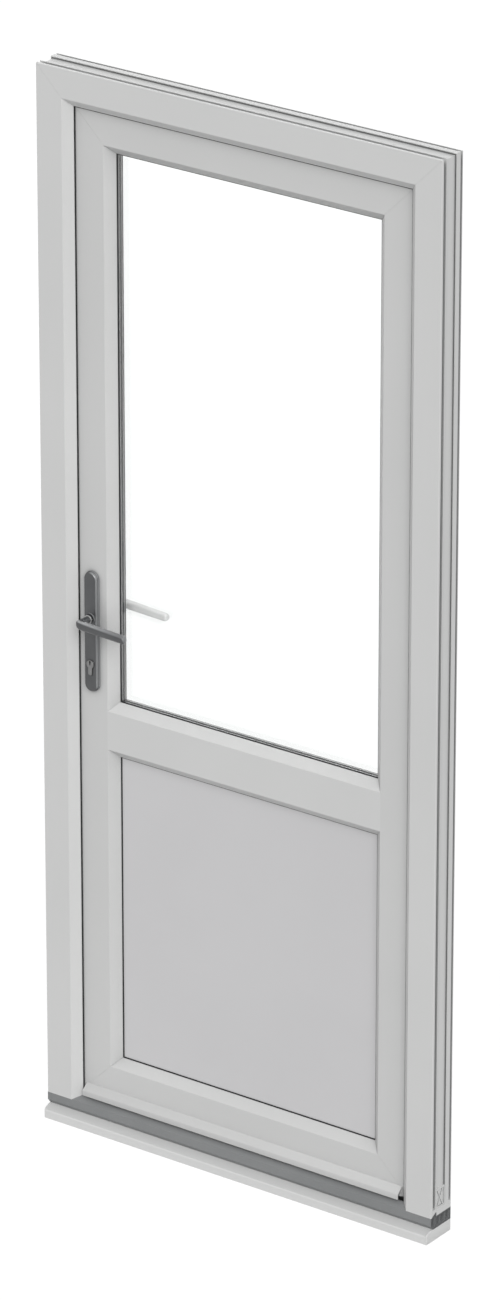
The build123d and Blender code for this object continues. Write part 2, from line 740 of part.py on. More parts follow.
# Levers: a round neck through the plate and a flat bar towards the hinges
def make_lever(face, outward):
    plane = Plane(origin=(0, face, 0), x_dir=(1, 0, 0), z_dir=(0, outward, 0))
    up = 1 if outward < 0 else -1
    heel_x = pivot_x - lever_heel
    tip_x = pivot_x + lever_length
    heel_half = lever_height[0] / 2
    tip_half = lever_height[1] / 2
    with BuildPart() as lever:
        with BuildSketch(plane.offset(lever_standoff)) as bar:
            with BuildLine():
                Polyline(
                    (heel_x, up * (pivot_z + heel_half)),
                    (tip_x, up * (pivot_z + tip_half)),
                    (tip_x, up * (pivot_z - tip_half)),
                    (heel_x, up * (pivot_z - heel_half)),
                    close=True,
                )
            make_face()
            heel_top, heel_foot = bar.vertices().group_by(Axis.X)[0].sort_by(Axis.Y, reverse=up > 0)
            fillet(heel_top, lever_corners[0])
            fillet(heel_foot, lever_corners[1])
            fillet(bar.vertices().group_by(Axis.X)[-1], lever_corners[2])
        extrude(amount=lever_thickness)
        rim = lever.faces().sort_by(Axis.Y)[-1 if outward > 0 else 0].edges()
        chamfer(rim, lever_arris)
        with BuildSketch(plane.offset(-plate_thickness)):
            with Locations((pivot_x, up * pivot_z)):
                Circle(neck_radius)
        extrude(amount=plate_thickness + lever_standoff + lever_thickness / 2)
        with BuildSketch(plane.offset(-plate_thickness)):
            with Locations((pivot_x, up * pivot_z)):
                Rectangle(spindle_size, spindle_size)
        extrude(amount=plate_thickness + lever_standoff / 2, mode=Mode.SUBTRACT)
    return lever


outer_plate_face = sash_setback - plate_thickness
inner_plate_face = sash_inner + plate_thickness
save(make_lever(outer_plate_face, -1), "outside_lever")
save(make_lever(inner_plate_face, 1), "inside_lever")

with BuildPart() as handle_spindle:
    with BuildSketch(Plane.XZ.offset(-(outer_plate_face - lever_standoff / 2))):
        with Locations((pivot_x, pivot_z)):
            Rectangle(spindle_size, spindle_size)
    extrude(amount=-(inner_plate_face - outer_plate_face + lever_standoff))
save(handle_spindle, "handle_spindle")

# Lock faceplate: a long strip set flush in the lock stile's edge, with windows for the bolts
faceplate_length = leaf_height - 2 * flange_reach - 2 * faceplate_end
with BuildPart() as lock_faceplate:
    with BuildSketch(Plane.YZ.offset(leaf_lock_edge)):
        with Locations((groove_middle, (leaf_top + leaf_bottom) / 2)):
            SlotOverall(faceplate_length, hardware_groove_width, rotation=90)
        add(bolt_outlines.sketch, mode=Mode.SUBTRACT)
    extrude(amount=hardware_groove_depth)
save(lock_faceplate, "lock_faceplate")

# Lock bolts: the latch, deadbolt and hooks, held back flush with the faceplate
with BuildPart() as lock_bolts:
    with BuildSketch(Plane.YZ.offset(leaf_lock_edge)):
        add(bolt_outlines.sketch)
    extrude(amount=bolt_depth)
save(lock_bolts, "lock_bolts")


# Hinges: the frame half has two knuckles and the pin, the leaf half has the middle knuckle
def make_frame_hinge(middle):
    stack = 3 * knuckle_length + 2 * knuckle_gap
    arm_length = hinge_y - frame_depth
    with BuildPart() as half:
        for low in (middle - stack / 2, middle + stack / 2 - knuckle_length):
            with BuildSketch(Plane.XY.offset(low)):
                with Locations((hinge_x, hinge_y)):
                    Circle(knuckle_radius)
                with Locations((hinge_x + (knuckle_radius - hinge_arm_inner) / 2, hinge_y - arm_length / 2)):
                    Rectangle(knuckle_radius + hinge_arm_inner, arm_length)
            extrude(amount=knuckle_length)
        with BuildSketch(Plane.XY.offset(middle - stack / 2)):
            with Locations((hinge_x, hinge_y)):
                Circle(hinge_pin_radius)
        extrude(amount=stack)
        with BuildSketch(Plane.XZ.offset(-frame_depth)):
            with Locations((half_width - frame_leaf[0] / 2 - 5, middle)):
                RectangleRounded(frame_leaf[0], frame_leaf[1], 3)
        extrude(amount=-frame_leaf[2])
    return half


def make_sash_hinge(middle):
    with BuildPart() as half:
        with BuildSketch(Plane.XY.offset(middle - knuckle_length / 2)):
            with Locations((hinge_x, hinge_y)):
                Circle(knuckle_radius)
            arm_length = hinge_x - leaf_half + knuckle_radius
            with Locations((hinge_x - arm_length / 2, sash_inner + sash_leaf[2] / 2)):
                Rectangle(arm_length, sash_leaf[2])
        extrude(amount=knuckle_length)
        with BuildSketch(Plane.XZ.offset(-sash_inner)):
            with Locations((leaf_half - sash_leaf[0] / 2, middle)):
                RectangleRounded(sash_leaf[0], sash_leaf[1], 3)
        extrude(amount=-sash_leaf[2])
        with BuildSketch(Plane.XY.offset(middle - knuckle_length / 2)):
            with Locations((hinge_x, hinge_y)):
                Circle(hinge_pin_radius + pin_clearance)
        extrude(amount=knuckle_length, mode=Mode.SUBTRACT)
    return half


for place, middle in hinge_places.items():
    save(make_frame_hinge(middle), f"{place}_hinge_frame_half")
    save(make_sash_hinge(middle), f"{place}_hinge_leaf_half")
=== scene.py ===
import json
import math

import bmesh
import bpy
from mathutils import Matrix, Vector


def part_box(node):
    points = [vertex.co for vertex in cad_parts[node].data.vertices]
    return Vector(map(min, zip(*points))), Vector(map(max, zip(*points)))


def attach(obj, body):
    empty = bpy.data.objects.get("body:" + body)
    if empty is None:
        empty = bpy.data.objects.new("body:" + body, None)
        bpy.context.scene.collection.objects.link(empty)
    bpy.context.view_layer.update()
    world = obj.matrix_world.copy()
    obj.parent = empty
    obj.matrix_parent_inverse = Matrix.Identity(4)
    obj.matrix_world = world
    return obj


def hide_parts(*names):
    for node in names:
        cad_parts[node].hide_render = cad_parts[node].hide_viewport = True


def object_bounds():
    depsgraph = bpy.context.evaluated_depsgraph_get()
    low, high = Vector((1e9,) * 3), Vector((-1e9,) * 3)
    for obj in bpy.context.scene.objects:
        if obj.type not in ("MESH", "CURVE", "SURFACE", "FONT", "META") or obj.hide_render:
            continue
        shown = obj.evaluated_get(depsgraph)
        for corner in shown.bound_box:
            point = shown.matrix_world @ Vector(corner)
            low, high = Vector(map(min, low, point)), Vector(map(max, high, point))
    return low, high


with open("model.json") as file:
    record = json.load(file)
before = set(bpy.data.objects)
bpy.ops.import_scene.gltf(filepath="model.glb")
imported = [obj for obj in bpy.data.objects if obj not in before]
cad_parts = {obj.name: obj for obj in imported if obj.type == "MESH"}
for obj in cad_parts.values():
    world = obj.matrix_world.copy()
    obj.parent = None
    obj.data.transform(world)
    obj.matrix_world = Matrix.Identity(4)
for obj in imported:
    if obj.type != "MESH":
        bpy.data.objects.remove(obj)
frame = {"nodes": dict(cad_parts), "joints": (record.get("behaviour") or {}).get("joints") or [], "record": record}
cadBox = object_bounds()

scene = bpy.context.scene
nodes = frame["nodes"]
mm = 0.001


# a socket that can be used in sums, so that a pattern reads as a formula
class Wire:
    def __init__(self, look, socket):
        self.look = look
        self.socket = socket

    def maths(self, operation, first, second=None):
        values = {0: first} if second is None else {0: first, 1: second}
        return self.look.node("ShaderNodeMath", {"operation": operation}, values)

    def __add__(self, other):
        return self.maths("ADD", self, other)

    def __radd__(self, other):
        return self.maths("ADD", other, self)

    def __sub__(self, other):
        return self.maths("SUBTRACT", self, other)

    def __rsub__(self, other):
        return self.maths("SUBTRACT", other, self)

    def __mul__(self, other):
        return self.maths("MULTIPLY", self, other)

    def __rmul__(self, other):
        return self.maths("MULTIPLY", other, self)

    def __abs__(self):
        return self.maths("ABSOLUTE", self)

    def least(self, other):
        return self.maths("MINIMUM", self, other)

    def most(self, other):
        return self.maths("MAXIMUM", self, other)

    # 0 to 1, soft at both ends, as the value goes from start to end
    def rise(self, start, end):
        settings = {"interpolation_type": "SMOOTHSTEP"}
        values = {"Value": self, "From Min": start, "From Max": end}
        return self.look.node("ShaderNodeMapRange", settings, values)


# one material and the nodes that it is made of
class Look:
    def __init__(self, name):
        self.material = bpy.data.materials.new(name)
        self.material.use_nodes = True
        self.tree = self.material.node_tree
        self.tree.nodes.clear()

    def node(self, kind, settings=None, values=None, out=0):
        made = self.tree.nodes.new(kind)
        for key, value in (settings or {}).items():
            setattr(made, key, value)
        for key, value in (values or {}).items():
            if isinstance(value, Wire):
                self.tree.links.new(value.socket, made.inputs[key])
            else:
                made.inputs[key].default_value = value
        return Wire(self, made.outputs[out]) if len(made.outputs) else None

    def place(self):
        return self.node("ShaderNodeTexCoord", out="Object")

    def axes(self):
        return self.split(self.place())

    def facing(self):
        return self.split(self.node("ShaderNodeNewGeometry", out="Normal"))

    # the parts of a vector along x, y and z
    def split(self, vector):
        parts = self.node("ShaderNodeSeparateXYZ", values={0: vector})
        return [Wire(self, socket) for socket in parts.socket.node.outputs]

    def noise(self, scale, detail=2.0, stretch=(1.0, 1.0, 1.0)):
        spread = self.node("ShaderNodeMapping", values={"Vector": self.place(), "Scale": stretch})
        values = {"Vector": spread, "Scale": scale, "Detail": detail, "Roughness": 0.5}
        return self.node("ShaderNodeTexNoise", values=values)

    def blend(self, amount, first, second):
        values = {"Factor": amount, 6: first, 7: second}
        return self.node("ShaderNodeMix", {"data_type": "RGBA"}, values, out=2)

    # 1 in the open, towards 0 in a narrow recess
    def openness(self, reach, local):
        settings = {"samples": 6, "only_local": local}
        return self.node("ShaderNodeAmbientOcclusion", settings, {"Distance": reach}, out=1)

    def bump(self, height, distance):
        values = {"Height": height, "Distance": distance, "Strength": 1.0}
        return self.node("ShaderNodeBump", values=values)

    def done(self, **values):
        sockets = {name.replace("_", " "): value for name, value in values.items()}
        shader = self.node("ShaderNodeBsdfPrincipled", values=sockets)
        self.node("ShaderNodeOutputMaterial", values={"Surface": shader})
        return self.material


def grey(level, warm=0.0):
    return (level * (1 + warm), level, level * (1 - warm), 1.0)


profileFinish = {
    "colour": (0.656, 0.656, 0.650, 1.0),
    "shade": (0.628, 0.629, 0.623, 1.0),
    # paintedShade: the dark colour that the painted shade blends towards
    "paintedShade": (0.115, 0.118, 0.120, 1.0),
    "roughness": 0.36,
    "specular": 0.12,
    "seamHalf": 0.45 * mm,
    "seamDepth": 0.25 * mm,
    "grooveReach": 18 * mm,
    "grooveOpen": (0.36, 0.74),
    "grooveShade": 0.68,
    "cornerReach": 60 * mm,
    "cornerOpen": (0.50, 0.95),
    "topShadeFacing": (0.3, 0.9),
}


# white extruded profile: die lines along its length, a trimmed weld at its mitres and painted shade in its
# grooves; where asked also painted shade near other parts, painted shade on faces that look up, and a painted
# brightness that scales its white
def profileLook(name, along, half, top, bottom=None, paintedBrightness=1.0, corner=0.0, topShade=0.0):
    look = Look(name)
    finish = profileFinish
    x, y, z = look.axes()
    across = {"x": (2.0, 700.0, 700.0), "z": (700.0, 700.0, 2.0)}[along]
    dieLines = look.noise(1.0, 3.0, across)
    cloud = look.noise(2.6, 3.0)
    grain = look.noise(900.0, 2.0)
    offset = abs(abs(x) - z + (top - half))
    if bottom is not None:
        offset = offset.least(abs(abs(x) + z - (half + bottom)))
    seam = 1 - (offset * math.sqrt(0.5)).rise(finish["seamHalf"] * 0.4, finish["seamHalf"])
    # the white scaled by the member's painted brightness: painted light above 1, painted shade below 1
    light = tuple(c * paintedBrightness for c in finish["colour"][:3]) + (1.0,)
    dark = tuple(c * paintedBrightness for c in finish["shade"][:3]) + (1.0,)
    colour = look.blend((cloud.rise(0.3, 0.7) * 0.7 + seam * 0.3), light, dark)
    # painted shade near other parts, where they occlude within cornerReach
    if corner:
        cornerShadeMask = 1 - look.openness(finish["cornerReach"], False).rise(*finish["cornerOpen"])
        colour = look.blend(cornerShadeMask * corner, colour, finish["paintedShade"])
    # painted shade on faces that look up
    if topShade:
        upward = look.facing()[2].rise(*finish["topShadeFacing"])
        colour = look.blend(upward * topShade, colour, finish["paintedShade"])
    # painted shade in the profile's own grooves, where they are occluded
    groove = 1 - look.openness(finish["grooveReach"], True).rise(*finish["grooveOpen"])
    colour = look.blend(groove * finish["grooveShade"], colour, finish["paintedShade"])
    roughness = finish["roughness"] + dieLines * 0.05 + grain * 0.03 + seam * 0.15
    height = dieLines * 0.02 + grain * 0.012 - seam
    normal = look.bump(height, finish["seamDepth"])
    return look.done(
        Base_Color=colour, Roughness=roughness, Specular_IOR_Level=finish["specular"], Normal=normal
    )


def boxOf(name):
    low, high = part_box(name)
    return Vector(low), Vector(high)


frameHigh = boxOf("frame_head")[1]
leafHigh = boxOf("top_rail")[1]
leafLow = boxOf("bottom_rail")[0]
frameSeam = {"half": frameHigh.x, "top": frameHigh.z}
leafSeam = {"half": leafHigh.x, "top": leafHigh.z, "bottom": leafLow.z}

# paintedBrightness: painted light above 1 and painted shade below 1, set per member
frameUpright = profileLook("frame_upright", "z", **frameSeam)
frameLevel = profileLook("frame_level", "x", **frameSeam)
# the cill gets painted shade on its upward faces
cillWhite = profileLook("cill_white", "x", **frameSeam, paintedBrightness=1.08, topShade=0.19)
dripWhite = profileLook("drip_white", "x", **frameSeam, paintedBrightness=0.90)
# corner: how much painted shade the leaf gets near the frame and other parts
leafUpright = profileLook("leaf_upright", "z", **leafSeam, paintedBrightness=0.955, corner=0.5)
leafLevel = profileLook("leaf_level", "x", **leafSeam, paintedBrightness=0.955, corner=0.4)
midWhite = profileLook("mid_white", "x", **leafSeam, paintedBrightness=1.0, corner=0.2)

panelFinish = {
    "colour": (0.622, 0.616, 0.622, 1.0),
    "shade": (0.608, 0.602, 0.608, 1.0),
    "roughness": 0.3,
    "specular": 0.2,
}


def panelLook():
    look = Look("panel_skin")
    cloud = look.noise(3.5, 4.0)
    ripple = look.noise(9.0, 2.0)
    grain = look.noise(700.0, 2.0)
    colour = look.blend(cloud.rise(0.3, 0.7), panelFinish["colour"], panelFinish["shade"])
    roughness = panelFinish["roughness"] + grain * 0.04 + cloud * 0.03
    normal = look.bump(ripple + grain * 0.02, 0.25 * mm)
    return look.done(
        Base_Color=colour, Roughness=roughness, Specular_IOR_Level=panelFinish["specular"], Normal=normal
    )


thresholdFinish = {
    "colour": (0.238, 0.243, 0.245, 1.0),
    "shade": (0.216, 0.222, 0.224, 1.0),
    "endShade": (0.050, 0.051, 0.053, 1.0),
    "endShadeDepth": (1.0 * mm, 0.2 * mm),
    "roughness": 0.5,
}


# grey powder coat over an extrusion: fine grit, faint lines along its length and painted shade on its cut ends
def thresholdLook():
    look = Look("grey_threshold")
    grit = look.noise(1600.0, 2.0)
    lines = look.noise(1.0, 3.0, (3.0, 900.0, 900.0))
    cloud = look.noise(6.0, 3.0)
    colour = look.blend(cloud.rise(0.3, 0.7), thresholdFinish["colour"], thresholdFinish["shade"])
    end = boxOf("threshold")[1].x
    start, full = thresholdFinish["endShadeDepth"]
    # painted shade over the last mm of each cut end
    endShade = abs(look.axes()[0]).rise(end - start, end - full)
    colour = look.blend(endShade * (0.6 + look.noise(260.0, 3.0) * 0.5), colour, thresholdFinish["endShade"])
    roughness = thresholdFinish["roughness"] + grit * 0.1 + lines * 0.05
    normal = look.bump(grit * 0.3 + lines * 0.25, 0.12 * mm)
    return look.done(Base_Color=colour, Roughness=roughness, Normal=normal)


# soft black sealing rubber
def rubberLook(name, level):
    look = Look(name)
    grain = look.noise(1400.0, 3.0)
    cloud = look.noise(14.0, 3.0)
    colour = look.blend(cloud.rise(0.3, 0.7), grey(level, -0.03), grey(level * 1.35, -0.03))
    normal = look.bump(grain, 0.1 * mm)
    roughness = 0.6 + grain * 0.15
    return look.done(Base_Color=colour, Roughness=roughness, Specular_IOR_Level=0.2, Normal=normal)


# satin metal with brushing along one axis, with painted shade in recesses where a reach for them is given
def metalLook(name, level, along, roughness=0.3, metallic=1.0, recessShadeReach=0.0):
    look = Look(name)
    across = {"x": (4.0, 900.0, 900.0), "z": (900.0, 900.0, 4.0), "y": (900.0, 4.0, 900.0)}[along]
    lines = look.noise(1.0, 4.0, across)
    cloud = look.noise(20.0, 3.0)
    colour = look.blend(lines.rise(0.25, 0.75), grey(level), grey(level * 0.86))
    rough = roughness + lines * 0.1 + cloud * 0.06
    # painted shade in recesses, where they are occluded within the reach
    if recessShadeReach:
        recessShade = 1 - look.openness(recessShadeReach, True).rise(0.3, 0.8)
        colour = look.blend(recessShade * 0.92, colour, grey(0.02))
    normal = look.bump(lines, 0.03 * mm)
    return look.done(Base_Color=colour, Metallic=metallic, Roughness=rough, Normal=normal)


handleFinish = {
    "colour": (0.043, 0.045, 0.048, 1.0),
    "worn": (0.058, 0.060, 0.063, 1.0),
    "paintedHighlight": (0.420, 0.428, 0.435, 1.0),
    "highlightWeight": (0.80, 0.95),  # how much facing up and facing sideways adds to the painted highlight
    "roughness": 0.30,
    "metallic": 0.2,
    "coat": 0.6,
    "coatRoughness": 0.2,
    "tipFade": 0.65,  # how much of the painted highlight is gone at the lever's tip
}


# dark grey satin coat on cast metal, with a painted highlight where it faces up or sideways
def handleLook(name, highlightWeight, fadeEnds=None):
    look = Look(name)
    orange = look.noise(420.0, 2.0)
    cloud = look.noise(30.0, 4.0)
    colour = look.blend(cloud.rise(0.35, 0.8), handleFinish["colour"], handleFinish["worn"])
    facing = look.facing()
    upward, sideways = handleFinish["highlightWeight"]
    # painted highlight on faces that look up or to the side
    highlightMask = (facing[2] * upward + facing[0] * sideways).rise(0.2, 0.9) * highlightWeight
    if fadeEnds:
        highlightMask = highlightMask * (1 - look.axes()[0].rise(*fadeEnds) * handleFinish["tipFade"])
    colour = look.blend(highlightMask, colour, handleFinish["paintedHighlight"])
    roughness = handleFinish["roughness"] + cloud * 0.08 + orange * 0.04
    normal = look.bump(orange, 0.04 * mm)
    return look.done(
        Base_Color=colour,
        Metallic=handleFinish["metallic"],
        Roughness=roughness,
        Coat_Weight=handleFinish["coat"],
        Coat_Roughness=handleFinish["coatRoughness"],
        Normal=normal,
    )


hardwareFinish = {"colour": grey(0.64, 0.003), "shade": grey(0.60, 0.003), "roughness": 0.3}


# white powder coat with a fine orange peel
def hardwareLook():
    look = Look("white_hardware")
    orange = look.noise(500.0, 2.0)
    cloud = look.noise(25.0, 3.0)
    colour = look.blend(cloud.rise(0.3, 0.7), hardwareFinish["colour"], hardwareFinish["shade"])
    normal = look.bump(orange, 0.05 * mm)
    return look.done(Base_Color=colour, Roughness=hardwareFinish["roughness"] + orange * 0.06, Normal=normal)


glassFinish = {"colour": (0.990, 0.998, 0.994, 1.0), "pale": (0.994, 0.999, 0.997, 1.0)}


# clear float glass that lets light through to what stands behind it
def glassLook():
    look = Look("clear_glass")
    haze = look.noise(3.0, 2.0)
    colour = look.blend(haze, glassFinish["colour"], glassFinish["pale"])
    glass = look.node(
        "ShaderNodeBsdfPrincipled",
        values={"Base Color": colour, "Transmission Weight": 1.0, "IOR": 1.45, "Roughness": haze * 0.01},
    )
    clear = look.node("ShaderNodeBsdfTransparent")
    shadowRay = look.node("ShaderNodeLightPath", out="Is Shadow Ray")
    both = look.node("ShaderNodeMixShader", values={0: shadowRay, 1: glass, 2: clear})
    look.node("ShaderNodeOutputMaterial", values={"Surface": both})
    return look.material


panelSkin = panelLook()
greyThreshold = thresholdLook()
blackRubber = rubberLook("black_gasket", 0.014)
satinSteel = metalLook("satin_steel", 0.55, "z")
cylinderSteel = metalLook("cylinder_steel", 0.25, "z", 0.45, 0.8, recessShadeReach=6 * mm)
spacerMetal = metalLook("spacer_aluminium", 0.36, "z", 0.4, recessShadeReach=4 * mm)
leverEnds = [corner.x for corner in boxOf("outside_lever")]
# the plate and the lever get a painted highlight, the neck only a little
plateGrey = handleLook("grey_handle_plate", 0.55)
leverGrey = handleLook("grey_handle_lever", 1.0, leverEnds)
neckGrey = handleLook("grey_handle_neck", 0.1)
# light finish for the ring at the lever's neck, a painted highlight standing for the neck's bright top
ringHighlight = metalLook("neck_ring_highlight", 0.42, "y", 0.35, 0.7)
whiteHardware = hardwareLook()
clearGlass = glassLook()
print("materials made")

nodeLooks = {
    "cill": cillWhite,
    "cill_end_cap_left": cillWhite,
    "cill_end_cap_right": cillWhite,
    "threshold": greyThreshold,
    "threshold_seal": blackRubber,
    "frame_head": frameLevel,
    "top_rail": leafLevel,
    "mid_rail": midWhite,
    "bottom_rail": leafLevel,
    "weather_bar": dripWhite,
    "lower_panel": panelSkin,
    "outer_pane": clearGlass,
    "inner_pane": clearGlass,
    "spacer_bar": spacerMetal,
    "euro_cylinder": cylinderSteel,
    "lock_faceplate": satinSteel,
    "lock_bolts": satinSteel,
    "handle_spindle": satinSteel,
}
for name, piece in nodes.items():
    if name in nodeLooks:
        look = nodeLooks[name]
    elif "gasket" in name:
        look = blackRubber
    elif "keep" in name:
        look = satinSteel
    elif "hinge_frame_half" in name or "hinge_leaf_half" in name:
        look = whiteHardware
    elif "handle_plate" in name or "lever" in name:
        look = plateGrey if "outside" in name else whiteHardware
    elif "jamb" in name:
        look = frameUpright
    else:
        look = leafUpright
    piece.data.materials.clear()
    piece.data.materials.append(look)
print("finishes given to", len(nodes), "pieces")

mergeWithin = 0.004 * mm
bodies = frame["record"]["behaviour"]["bodies"]
bodyOf = {node: body for body, names in bodies.items() for node in names}


def finishMesh(mesh, look, angle=32.0):
    shell = bmesh.new()
    shell.from_mesh(mesh)
    bmesh.ops.remove_doubles(shell, verts=shell.verts, dist=mergeWithin)
    bmesh.ops.recalc_face_normals(shell, faces=shell.faces)
    shell.to_mesh(mesh)
    shell.free()
    mesh.shade_smooth()
    mesh.set_sharp_from_angle(angle=math.radians(angle))
    mesh.materials.clear()
    mesh.materials.append(look)


def addPiece(name, mesh, look, body, stands=()):
    finishMesh(mesh, look)
    made = bpy.data.objects.new(name, mesh)
    scene.collection.objects.link(made)
    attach(made, body)
    if stands:
        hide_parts(*stands)
    return made


# points and faces of a skin over rings of points, closed at its ends or run round to its start
def skin(rings, loop=False):
    count = len(rings[0])
    points = [point for ring in rings for point in ring]
    faces = []
    for index in range(len(rings) if loop else len(rings) - 1):
        first = index * count
        second = (index + 1) % len(rings) * count
        for step in range(count):
            after = (step + 1) % count
            faces.append((first + step, first + after, second + after, second + step))
    if not loop:
        faces.append(tuple(range(count)))
        faces.append(tuple(range(len(points) - count, len(points))))
    return points, faces


def meshOf(name, *skins):
    points = []
    faces = []
    for somePoints, someFaces in skins:
        faces += [tuple(len(points) + index for index in face) for face in someFaces]
        points += somePoints
    mesh = bpy.data.meshes.new(name)
    mesh.from_pydata([[value * mm for value in point] for point in points], [], faces)
    return mesh


# rounding of the arrises, in mm, where the solid's edges are left sharp
softened = {
    "outside_handle_plate": 0.5,
    "inside_handle_plate": 0.5,
    "weather_bar": 0.35,
    "cill_end_cap_left": 0.5,
    "cill_end_cap_right": 0.5,
    "upper_beads": 0.6,
    "lower_beads": 0.6,
    "latch_keep": 0.4,
    "upper_hook_keep": 0.4,
    "lower_hook_keep": 0.4,
    "lower_hinge_frame_half": 0.6,
    "middle_hinge_frame_half": 0.6,
    "upper_hinge_frame_half": 0.6,
    "lower_hinge_leaf_half": 0.6,
    "middle_hinge_leaf_half": 0.6,
    "upper_hinge_leaf_half": 0.6,
}


def soften(node, width):
    source = nodes[node].data
    shell = bmesh.new()
    shell.from_mesh(source)
    bmesh.ops.remove_doubles(shell, verts=shell.verts, dist=mergeWithin)
    bmesh.ops.dissolve_limit(shell, angle_limit=math.radians(0.5), verts=shell.verts, edges=shell.edges)
    rough = bpy.data.meshes.new(node + "_rough")
    shell.to_mesh(rough)
    shell.free()
    holder = bpy.data.objects.new(node + "_rough", rough)
    scene.collection.objects.link(holder)
    bevel = holder.modifiers.new("arris", "BEVEL")
    bevel.width = width * mm
    bevel.segments = 3
    bevel.limit_method = "ANGLE"
    bevel.angle_limit = math.radians(28.0)
    mesh = evaluated(holder, "soft_" + node)
    addPiece("soft_" + node, mesh, source.materials[0], bodyOf[node], (node,))


# a plain mesh of what an object's modifiers make, after which the object goes
def evaluated(holder, name):
    bpy.context.view_layer.update()
    graph = bpy.context.evaluated_depsgraph_get()
    mesh = bpy.data.meshes.new_from_object(holder.evaluated_get(graph))
    mesh.name = name
    bpy.data.objects.remove(holder, do_unlink=True)
    return mesh


for node, width in softened.items():
    soften(node, width)
print("arrises rounded on", len(softened), "pieces")

# sealing strips: width and thickness come from the solid, the rest is the strip's own shape, in mm
sealShapes = {
    "upper_outer_gasket": {"width": 10.0, "nose": 0.9, "groove": 0.35},
    "lower_outer_gasket": {"width": 10.0, "nose": 0.9, "groove": 0.35},
    "upper_inner_gasket": {"width": 8.0, "nose": 0.9, "groove": 0.3},
    "lower_inner_gasket": {"width": 8.0, "nose": 0.9, "groove": 0.3},
    "frame_gasket": {"width": 6.5, "nose": 1.2, "groove": 0.4},
    "sash_gasket": {"width": 6.5, "nose": 1.25, "groove": 0.4},
}


# outline of a strip, as insets from its outer edge and depths into the wall
def sealOutline(width, front, back, nose, groove):
    outline = [(0.0, front), (0.0, back)]
    for share in (0.52, 0.60, 0.68):
        outline.append((width * share, back - (groove if share == 0.60 else 0.0)))
    for step in range(7):
        angle = math.radians(90 - 30 * step)
        middle = (front + back) / 2
        half = (back - front) / 2
        outline.append((width - nose + nose * math.cos(angle), middle + half * math.sin(angle)))
    for share in (0.68, 0.60, 0.52):
        outline.append((width * share, front + (groove if share == 0.60 else 0.0)))
    return outline


def makeSeal(node, shape, openFoot=False):
    low, high = [corner / mm for corner in boxOf(node)]
    outline = sealOutline(shape["width"], low.y, high.y, shape["nose"], shape["groove"])
    rings = []
    for side, isTop in ((-1, False), (-1, True), (1, True), (1, False)):
        ring = []
        for inset, depth in outline:
            foot = low.z if openFoot else low.z + inset
            ring.append((side * (high.x - inset), depth, high.z - inset if isTop else foot))
        rings.append(ring)
    mesh = meshOf("seal_" + node, skin(rings, loop=not openFoot))
    addPiece("seal_" + node, mesh, blackRubber, bodyOf[node], (node,))


for node, shape in sealShapes.items():
    makeSeal(node, shape, openFoot=node == "frame_gasket")
print("sealing strips made")

leverShape = {
    "heel": 10.0,
    "reach": 101.0,
    "heelHalf": 8.5,
    "tipHalf": 7.25,
    "thickness": 12.0,
    "standoff": 21.5,
    "drop": 4.6,
    "droop": 5.6,
    "arris": 4.0,
    "crown": 1.2,
    "heelTop": 3.5,
    "heelFoot": 10.0,
    "tipRound": 6.0,
    "neck": 6.6,
    "neckArris": 0.4,
    "flare": 0.5,
    "plate": 10.0,
    "collar": 5.0,
    "ringMiddle": 7.0,
    "ringHalf": 1.5,
    "ringProud": 2.4,
}


# how far a rounded corner of this radius draws a side in, at a distance from the end
def drawnIn(distance, radius):
    if distance >= radius:
        return 0.0
    return radius - math.sqrt(radius * radius - (radius - distance) ** 2)


def leverStations(shape):
    length = shape["heel"] + shape["reach"]
    ends = [0.0, 0.15, 0.5, 1.0, 1.7, 2.5, 3.5, 4.8, 6.4, 8.2, 10.0]
    middle = [10.0 + (length - 20.0) * step / 12 for step in range(1, 12)]
    return ends + middle + [length - distance for distance in reversed(ends)]


def leverSection(shape, distance):
    length = shape["heel"] + shape["reach"]
    share = distance / length
    half = shape["heelHalf"] + (shape["tipHalf"] - shape["heelHalf"]) * share
    toTip = length - distance
    top = half - drawnIn(distance, shape["heelTop"]) - drawnIn(toTip, shape["tipRound"])
    foot = -half + drawnIn(distance, shape["heelFoot"]) + drawnIn(toTip, shape["tipRound"])
    thin = drawnIn(distance, shape["arris"]) + drawnIn(toTip, shape["arris"])
    depth = shape["thickness"] / 2 - thin
    radius = min(shape["arris"], (top - foot) / 2 - 0.05, depth - 0.05)
    middle = (top + foot) / 2
    rise = (top - foot) / 2
    ring = []
    for sideDepth, sideRise, turn in ((1, 1, 0), (1, -1, 1), (-1, -1, 2), (-1, 1, 3)):
        for step in range(6):
            angle = math.radians(90 - 90 * turn - 18 * step)
            out = sideDepth * (depth - radius) + radius * math.cos(angle)
            up = sideRise * (rise - radius) + radius * math.sin(angle)
            swell = shape["crown"] * (1 - (up / rise) ** 2) * (1 if out > 0 else 0) * min(1.0, distance / 20)
            ring.append((out + swell - shape["crown"], middle + up - shape["drop"] - shape["droop"] * share))
    return ring


# a turned form on a level axis into the wall, or on an upright axis
def turned(profile, centre, sides=40, upright=False, loop=False):
    rings = []
    for radius, depth in profile:
        ring = []
        for step in range(sides):
            angle = 2 * math.pi * step / sides
            across = centre[0] + radius * math.cos(angle)
            beside = centre[1] + radius * math.sin(angle)
            ring.append((across, beside, depth) if upright else (across, depth, beside))
        rings.append(ring)
    return skin(rings, loop)


